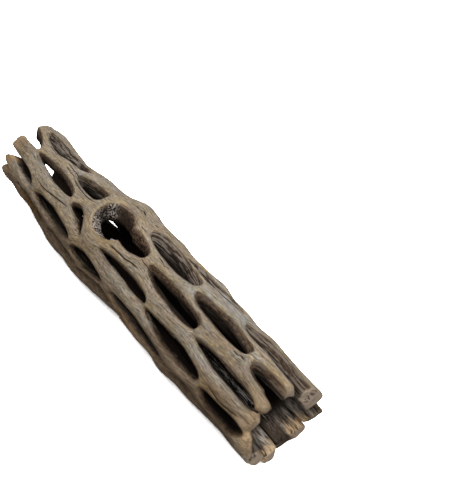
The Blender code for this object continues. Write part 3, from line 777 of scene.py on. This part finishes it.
def knot_values(x, deg, mouth):
    """The knot's pit with its brown tail, the cut fibres in it, its brown rim and its lip."""
    turn = turn_between(deg, 0)
    in_pit = smooth_step((PIT_RADIUS + 0.8 - from_pit(x, deg)) / PIT_EDGE)
    flecks = (PIT_FLECKS_AT[0] - x) / PIT_FLECKS_REACH[0] + (turn - PIT_FLECKS_AT[1]) / PIT_FLECKS_REACH[1]
    top = np.exp(-0.5 * ((mouth - PIT_TOP_AT) / PIT_TOP_WIDTH) ** 2)
    top = top * smooth_step((PIT_TOP_LENGTH - np.abs(x - PIT_AT[0])) / 3)
    return {
        "pit": np.maximum(in_pit, smooth_step(2 * near_spots(PIT_TAIL, x, deg) - 0.5)),
        "pit_flecks": smooth_step(flecks),
        "pit_top": top * smooth_step((PIT_TOP_FROM - turn) / 6) * (turn > PIT_TOP_TO),
        "pit_red": 0.2 + smooth_step((x - PIT_AT[0]) / 9),
        "collar": knot_collar(x, deg),
    }


def add_surface_values(mesh, holes, cracks, maps, xs, degs):
    """What the material needs to know at each vertex."""
    spots = np.empty(3 * len(mesh.vertices), np.float32)
    mesh.vertices.foreach_get("co", spots)
    spots = spots.reshape(-1, 3).astype(float) / MM
    x = spots[:, 0] - SHIFT_X
    across, up = spots[:, 1] - SHIFT_Y, spots[:, 2] - AXIS_HEIGHT
    deg = np.degrees(np.arctan2(-across, up))
    depth = plain_radius(x, deg) - np.hypot(across, up)
    values = {name: on_grid(flat_map, xs, degs, x, deg) for name, flat_map in maps.items()}
    side, share, _ = crack_lines(cracks, x, deg)
    values.update({
        "depth": depth,
        "grain": np.stack([x, grain_line(holes, x, deg), depth], axis=1),
        "place": np.stack([x, PER_DEGREE * deg, depth], axis=1),
        "along_wall": np.stack([x, values["mouth"], depth], axis=1),
        "tone": skin_tone(x, deg),
        "bleached": smooth_step((BLEACHED_FROM - turn_between(deg, 0)) / BLEACHED_OVER),
        "crack_side": side,
        "crack_open": share * smooth_step(1.8 - depth),
    })
    values.update(end_values(x, deg, depth))
    values.update(knot_values(x, deg, values["mouth"]))
    values.update({name: near_spots(places, x, deg) for name, places in SPOTS.items()})
    for name, known in values.items():
        kind, key = ("FLOAT_VECTOR", "vector") if known.ndim == 2 else ("FLOAT", "value")
        attribute = mesh.attributes.new(name, kind, "POINT")
        attribute.data.foreach_set(key, np.ascontiguousarray(known, np.float32).ravel())


def reduced(obj, triangles):
    """The object's mesh with fewer, larger faces where it is flat."""
    modifier = obj.modifiers.new("fewer_faces", "DECIMATE")
    modifier.ratio = triangles / (2 * len(obj.data.polygons))
    bpy.context.view_layer.update()
    mesh = bpy.data.meshes.new_from_object(obj.evaluated_get(bpy.context.evaluated_depsgraph_get()))
    obj.modifiers.clear()
    return mesh


def new_object(name, data):
    obj = bpy.data.objects.new(name, data)
    bpy.context.scene.collection.objects.link(obj)
    return obj


def wood_object(holes, cracks):
    xs = np.arange(-HALF_SPAN, HALF_SPAN + STEP_ALONG, STEP_ALONG)
    count = int(round(2 * math.pi * SPREAD_RADIUS / STEP_ROUND))
    degs = np.arange(count) * 360 / count - 180
    radii = np.arange(LEAST_RADIUS, MOST_RADIUS, STEP_DEEP)
    depths = np.array([distance_into(hole, xs, degs) for hole in holes])
    places, quads = surface_of(fill_diagonals(wood_field(holes, cracks, depths, xs, degs, radii)))
    x = np.interp(places[:, 0], np.arange(len(xs)), xs)
    turn = np.radians(degs[0] + places[:, 1] * (degs[1] - degs[0]))
    radius = np.interp(places[:, 2], np.arange(len(radii)), radii)
    spots = MM * np.stack([
        x + SHIFT_X, SHIFT_Y - radius * np.sin(turn), AXIS_HEIGHT + radius * np.cos(turn)
    ], axis=1)
    mesh = bpy.data.meshes.new("cholla_stick")
    mesh.from_pydata(spots.tolist(), [], quads.tolist())
    obj = new_object("cholla_stick", mesh)
    obj.data = reduced(obj, TRIANGLES)
    bpy.data.meshes.remove(mesh)
    obj.data.name = "cholla_stick"
    obj.data.polygons.foreach_set("use_smooth", np.ones(len(obj.data.polygons), bool))
    maps = hole_maps(holes, depths, xs, degs)
    add_surface_values(obj.data, holes, cracks, maps, xs, degs)
    obj.data.update()
    return obj


class Shader:
    """Short calls for building a node tree."""

    def __init__(self, owner):
        owner.use_nodes = True
        self.tree = owner.node_tree
        self.tree.nodes.clear()

    def node(self, kind, values=(), **settings):
        made = self.tree.nodes.new("ShaderNode" + kind)
        for key, value in settings.items():
            setattr(made, key, value)
        for socket, value in dict(values).items():
            self.put(made.inputs[socket], value)
        return made

    def put(self, socket, value):
        if isinstance(value, bpy.types.NodeSocket):
            self.tree.links.new(value, socket)
        elif isinstance(value, tuple) and len(value) == 3 and socket.type == "RGBA":
            socket.default_value = (*value, 1.0)
        else:
            socket.default_value = value

    def value(self, name):
        return self.node("Attribute", attribute_name=name).outputs["Fac"]

    def vector(self, name):
        return self.node("Attribute", attribute_name=name).outputs["Vector"]

    def math(self, operation, a, b=0.0):
        return self.node("Math", {0: a, 1: b}, operation=operation).outputs[0]

    def times(self, a, b):
        return self.math("MULTIPLY", a, b)

    def plus(self, a, b):
        return self.math("ADD", a, b)

    def minus(self, a, b):
        return self.math("SUBTRACT", a, b)

    def ramp(self, value, low, high, to_low=0.0, to_high=1.0):
        """value from low..high to to_low..to_high, smoothly and clamped."""
        return self.node(
            "MapRange",
            {"Value": value, "From Min": low, "From Max": high, "To Min": to_low, "To Max": to_high},
            interpolation_type="SMOOTHSTEP",
        ).outputs["Result"]

    def mix(self, share, a, b):
        """The colour a where share is 0, and b where it is 1."""
        return self.node("Mix", {"Factor": share, 6: a, 7: b}, data_type="RGBA").outputs[2]

    def vector_math(self, operation, values):
        return self.node("VectorMath", values, operation=operation).outputs[0]

    def shade(self, colour, amount):
        """The colour made darker or lighter."""
        return self.vector_math("SCALE", {0: colour, "Scale": amount})

    def noise(self, place, spacing, detail, roughness=0.6, offset=0.0):
        """Noise with one lump per spacing (millimetres) along the grain, across it and into it."""
        scaled = self.vector_math("DIVIDE", {0: place, 1: spacing})
        moved = self.vector_math("ADD", {0: scaled, 1: (offset, offset, offset)})
        return self.node("TexNoise", {
            "Vector": moved, "Scale": 1, "Detail": detail, "Roughness": roughness,
        }).outputs["Fac"]


def outer_skin(s, grain, lines, fine):
    """Weathered outside: tan and grey patches, greyer below each hole and more ochre above it, and dark
    grain lines, which are fainter on the lip of the knot."""
    side = s.value("side")
    near = s.ramp(s.value("mouth"), -4.6, -0.8)
    patches = s.noise(grain, (9, 3.2, 3.2), 4, 0.55)
    below = s.times(near, s.ramp(side, 0.1, 0.8))
    greyness = s.plus(s.ramp(patches, 0.42, 0.62), s.times(below, 0.8))
    greyness = s.plus(greyness, s.times(s.value("bleached"), 0.5))
    mottle = s.noise(grain, (2.2, 1.1, 1.1), 3, offset=31)
    blush = s.noise(grain, (6, 4, 4), 2, 0.55, offset=77)
    above = s.times(near, s.ramp(side, -0.1, -0.8))
    warm = s.noise(grain, (5.5, 1.5, 1.5), 4, 0.65, offset=7)
    strokes = s.noise(grain, (2.6, 0.7, 0.7), 1, 0.5, offset=91)
    calm = s.ramp(s.value("collar"), 0.2, 0.7, 1, 0.6)
    skin = s.mix(s.math("MINIMUM", greyness, 1), TAN, GREY)
    for share, colour in (
        (s.ramp(mottle, 0.52, 0.62, 0, 0.7), GREENISH),
        (s.ramp(blush, 0.5, 0.6, 0, 0.7), MAUVE),
        (s.times(s.ramp(warm, 0.42, 0.62), s.plus(s.times(above, 0.6), 0.4)), OCHRE),
        (s.times(s.ramp(s.value("collar"), 0.45, 0.9), s.ramp(warm, 0.4, 0.58, 0.2, 0.75)), COLLAR),
        # brown sides, partly the wood's colour and partly painted shade
        (s.times(s.value("brown"), 0.85), BROWN),
        # browner in a few patches
        (s.times(s.value("brown_patches"), 0.55), BROWN),
        (s.times(s.value("pit_top"), s.ramp(fine, 0.4, 0.54)), RIM),
        (s.times(s.ramp(lines, 0.42, 0.38, 0, 0.55), calm), LINE),
        (s.times(s.ramp(fine, 0.44, 0.38, 0, 0.5), calm), LINE),
        (s.times(s.ramp(strokes, 0.36, 0.31, 0, 0.35), calm), LINE),
    ):
        skin = s.mix(share, skin, colour)
    speckle = s.noise(grain, (2.6, 0.5, 0.5), 2, offset=41)
    skin = s.shade(skin, s.ramp(speckle, 0.36, 0.64, 0.82, 1.18))
    grit = s.noise(grain, (1.3, 0.8, 0.8), 1, 0.5, offset=43)
    skin = s.shade(skin, s.ramp(grit, 0.36, 0.64, 0.87, 1.13))
    skin = s.shade(skin, s.ramp(fine, 0.46, 0.6, 0.95, 1.15))
    # tone patches: partly the wood's own tone, partly painted shade and painted light
    return s.vector_math("MULTIPLY", {0: skin, 1: s.vector("tone")})


def hole_wall(s, grain, depth):
    """Inside of the holes: broken fibres, paler in some holes, that get lost in the dark tunnel. The near
    black deep in the walls and in the tunnel is painted shade on brown-grey wood.
    """
    along = s.vector("along_wall")
    streaks = s.noise(along, (7, 0.55, 0.55), 2, offset=17)
    pale = s.value("wall_pale")
    clumps = s.noise(grain, (1.2, 0.7, 0.7), 2, 0.7, offset=71)
    brown = s.shade(WALL_BROWN, s.ramp(clumps, 0.35, 0.65, 0.4, 1.8))
    # painted shade: the wall goes from brown near the rim to near black deeper in, sooner on the side of the
    # greater angles
    reach = s.plus(depth, s.ramp(s.value("side"), -0.2, 0.4, 0, 0.7))
    plain = s.mix(s.ramp(reach, 2.8, 0.9), WALL_SHADE, brown)
    wall = s.mix(pale, plain, WALL_GREY)
    wall = s.mix(s.times(s.ramp(streaks, 0.49, 0.55), pale), wall, WALL_FIBRE)
    # near the near end: fibrous and lighter inside, darker as painted shade where a strand lies in shade
    fibres = s.value("fibres")
    end = s.mix(fibres, END_WALL, END_GREY)
    torn = s.noise(s.vector("place"), (3.2, 0.5, 0.5), 2, offset=19)
    end = s.mix(s.times(s.ramp(torn, 0.46, 0.56), fibres), end, END_FIBRE)
    # painted shade: the tunnel's wall is near black, brown in one place, with painted light near the open end
    tunnel = s.mix(s.value("brown_pith"), PITH_SHADE, PITH_BROWN)
    tunnel = s.mix(s.value("daylight"), tunnel, end)
    # painted highlight: pale fibre streaks on the tunnel's far wall where light comes through a hole
    strands = s.noise(grain, (9, 0.34, 0.34), 2, offset=53)
    tunnel = s.mix(s.times(s.ramp(strands, 0.55, 0.59), s.value("silver")), tunnel, SILVER_HIGHLIGHT)
    # painted shade: deeper in, the wall turns into the near-black tunnel, later on pale walls
    inwards = s.minus(depth, s.times(pale, 1.2))
    return s.mix(s.ramp(inwards, 2.8, 4.4), wall, tunnel)


def pit_wall(s):
    """Inside of the knot: the cut ends of fibres as pale flecks on dark brown, and smooth brown wood."""
    place = s.vector("place")
    flecks = s.noise(place, (0.52, 0.4, 0.85), 1, offset=3)
    clumps = s.noise(place, (2.5, 2.5, 2.5), 2, offset=13)
    share = s.times(s.ramp(flecks, 0.46, 0.54), s.ramp(clumps, 0.35, 0.6, 0.45, 1))
    share = s.times(share, s.value("pit_flecks"))
    grit = s.noise(place, (1.2, 0.7, 0.9), 3, 0.7, offset=37)
    red = s.times(s.ramp(grit, 0.42, 0.6), s.value("pit_red"))
    brown = s.mix(s.math("MINIMUM", red, 1), PIT_BROWN, PIT_RED)
    return s.mix(share, s.mix(s.value("pit_flecks"), brown, PIT_DARK), FLECK)


def sawn_face(s):
    """Sawn end grain: pale, with bundles of dark rays, or dark, which is partly broken wood and partly
    painted shade.
    """
    place = s.vector("place")
    dots = s.noise(place, (0.8, 0.5, 0.5), 3, offset=29)
    face = s.shade(SAWN, s.ramp(dots, 0.3, 0.7, 0.84, 1.12))
    hatch = s.noise(place, (4, 3, 0.55), 1, 0.5, offset=23)
    rays = s.times(s.ramp(hatch, 0.53, 0.48), s.value("rays"))
    face = s.mix(s.times(rays, 0.85), face, RAY)
    # dark ends: partly broken wood, partly painted shade
    return s.mix(s.value("pale"), BROKEN, face)


def wood_material():
    material = bpy.data.materials.new("weathered_cholla")
    s = Shader(material)
    grain = s.vector("grain")
    depth = s.value("depth")
    lines = s.noise(grain, (7, 0.8, 0.8), 4, offset=3)
    fine = s.noise(grain, (3.5, 0.34, 0.34), 4, offset=11)
    colour = outer_skin(s, grain, lines, fine)
    # towards a hole's edge, on the side of the smaller angles, the skin gets darker and browner as painted
    # shade, and inside it the wall begins
    uneven = s.times(s.minus(s.plus(lines, fine), 1), UNEVEN_EDGE)
    lit = s.value("wall_lit")
    mouth = s.plus(s.value("mouth"), uneven)
    low_side = s.ramp(s.value("side"), 0, -0.5)
    beside = s.times(s.ramp(mouth, -1.3, -0.4, 0, 0.65), low_side)
    beside = s.times(beside, s.ramp(s.value("collar"), 0.35, 0.75, 1, 0))
    colour = s.mix(beside, colour, RIM)
    under = s.plus(s.minus(depth, s.times(lit, LIT_DEPTH)), uneven)
    open_edge = s.minus(mouth, s.times(lit, LIT_SHIFT))
    open_edge = s.plus(open_edge, s.times(low_side, ROUGH_EDGE))
    wall = s.math("MAXIMUM", s.ramp(open_edge, -0.5, 0.2), s.ramp(under, 1.8, 2.5))
    wall = s.math("MAXIMUM", wall, s.ramp(s.value("torn_skin"), 0.3, 0.6))
    colour = s.mix(wall, colour, hole_wall(s, grain, depth))
    in_pit = s.times(s.value("pit"), s.math("MAXIMUM", s.ramp(under, 0.3, 1), wall))
    colour = s.mix(s.times(in_pit, s.ramp(depth, 6.5, 5)), colour, pit_wall(s))
    # torn, fresher wood at the tips
    torn = s.times(s.minus(fine, 0.5), 3)
    frayed = s.ramp(s.plus(s.value("frayed"), torn), 0.15, 0.7)
    splinters = s.noise(grain, (2.4, 0.45, 0.45), 2, offset=67)
    fresh = s.mix(s.ramp(splinters, 0.4, 0.5), END_WALL, FRESH)
    colour = s.mix(s.times(frayed, s.value("fresh")), colour, fresh)
    worn = s.times(s.ramp(torn, -0.3, 0.2, 0.3, 0.8), s.value("worn"))
    colour = s.mix(worn, colour, WORN)
    colour = s.mix(s.value("sawn"), colour, sawn_face(s))
    # cracks, painted near black as the shade in their gaps
    across = s.math("ABSOLUTE", s.value("crack_side"))
    crack = s.times(s.ramp(across, 2, 0.6), s.ramp(s.value("crack_open"), 0.05, 0.6))
    colour = s.mix(crack, colour, CRACK_SHADE)
    height = s.plus(s.times(lines, 0.6), s.times(fine, 0.5))
    height = s.minus(height, s.times(crack, 0.8))
    bump = s.node("Bump", {"Strength": 0.8, "Distance": MM * BUMP_HEIGHT, "Height": height})
    principled = s.node("BsdfPrincipled", {
        "Base Color": colour,
        "Roughness": s.ramp(lines, 0.3, 0.7, 0.92, 0.78),
        "Specular IOR Level": 0.1,
        "Normal": bump.outputs["Normal"],
    })
    s.node("OutputMaterial", {"Surface": principled.outputs[0]})
    return material


def floor_object():
    """White ground. The camera sees it overexposed, as in the photograph, so that only the deep shade close
    to the stick shows on it. To the stick it is a dim reflector."""
    mesh = bpy.data.meshes.new("floor")
    corners = [(x * FLOOR_HALF, y * FLOOR_HALF, 0) for x, y in ((-1, -1), (1, -1), (1, 1), (-1, 1))]
    mesh.from_pydata(corners, [], [(0, 1, 2, 3)])
    mesh.materials.append(bpy.data.materials.new("white_floor"))
    s = Shader(mesh.materials[0])
    seen = s.node("LightPath").outputs["Is Camera Ray"]
    paper = s.node("BsdfDiffuse", {"Color": s.mix(seen, FLOOR_TO_WOOD, FLOOR_TO_CAMERA)})
    s.node("OutputMaterial", {"Surface": paper.outputs[0]})
    return new_object("floor", mesh)


def add_sky():
    world = bpy.data.worlds.new("studio")
    s = Shader(world)
    seen = s.node("LightPath").outputs["Is Camera Ray"]
    strength = s.node("MapRange", {"Value": seen, "To Min": SKY_LIGHT})
    sky = s.node("Background", {"Color": WHITE, "Strength": strength.outputs["Result"]})
    s.node("OutputWorld", {"Surface": sky.outputs[0]})
    bpy.context.scene.world = world


def add_light():
    lamp = bpy.data.lights.new("softbox", "AREA")
    lamp.energy = LIGHT_WATTS
    lamp.size = LIGHT_SIZE
    obj = new_object("softbox", lamp)
    obj.location = LIGHT_AT
    obj.rotation_euler = Vector(LIGHT_AT).to_track_quat("Z", "Y").to_euler()


def add_camera():
    camera = bpy.data.cameras.new("camera")
    camera.lens = FOCAL_LENGTH
    camera.sensor_width = SENSOR_WIDTH
    camera.clip_start, camera.clip_end = 0.01, 10.0
    obj = new_object("camera", camera)
    turn = Euler((math.radians(90 - CAMERA_PITCH), 0, math.radians(CAMERA_AZIMUTH)))
    at = Vector(CAMERA_AT) + Vector((SHIFT_X, SHIFT_Y, 0))
    obj.matrix_world = Matrix.LocRotScale(MM * at, turn, None)
    bpy.context.scene.camera = obj


def main():
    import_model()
    holes = HOLES + hidden_holes()
    stick = wood_object(holes, CRACKS + drying_checks(holes))
    stick.data.materials.append(wood_material())
    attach(stick, "root")
    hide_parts("cholla_wood")
    floor_object()
    add_sky()
    add_light()
    add_camera()
    bpy.context.scene.view_settings.view_transform = "Standard"


main()
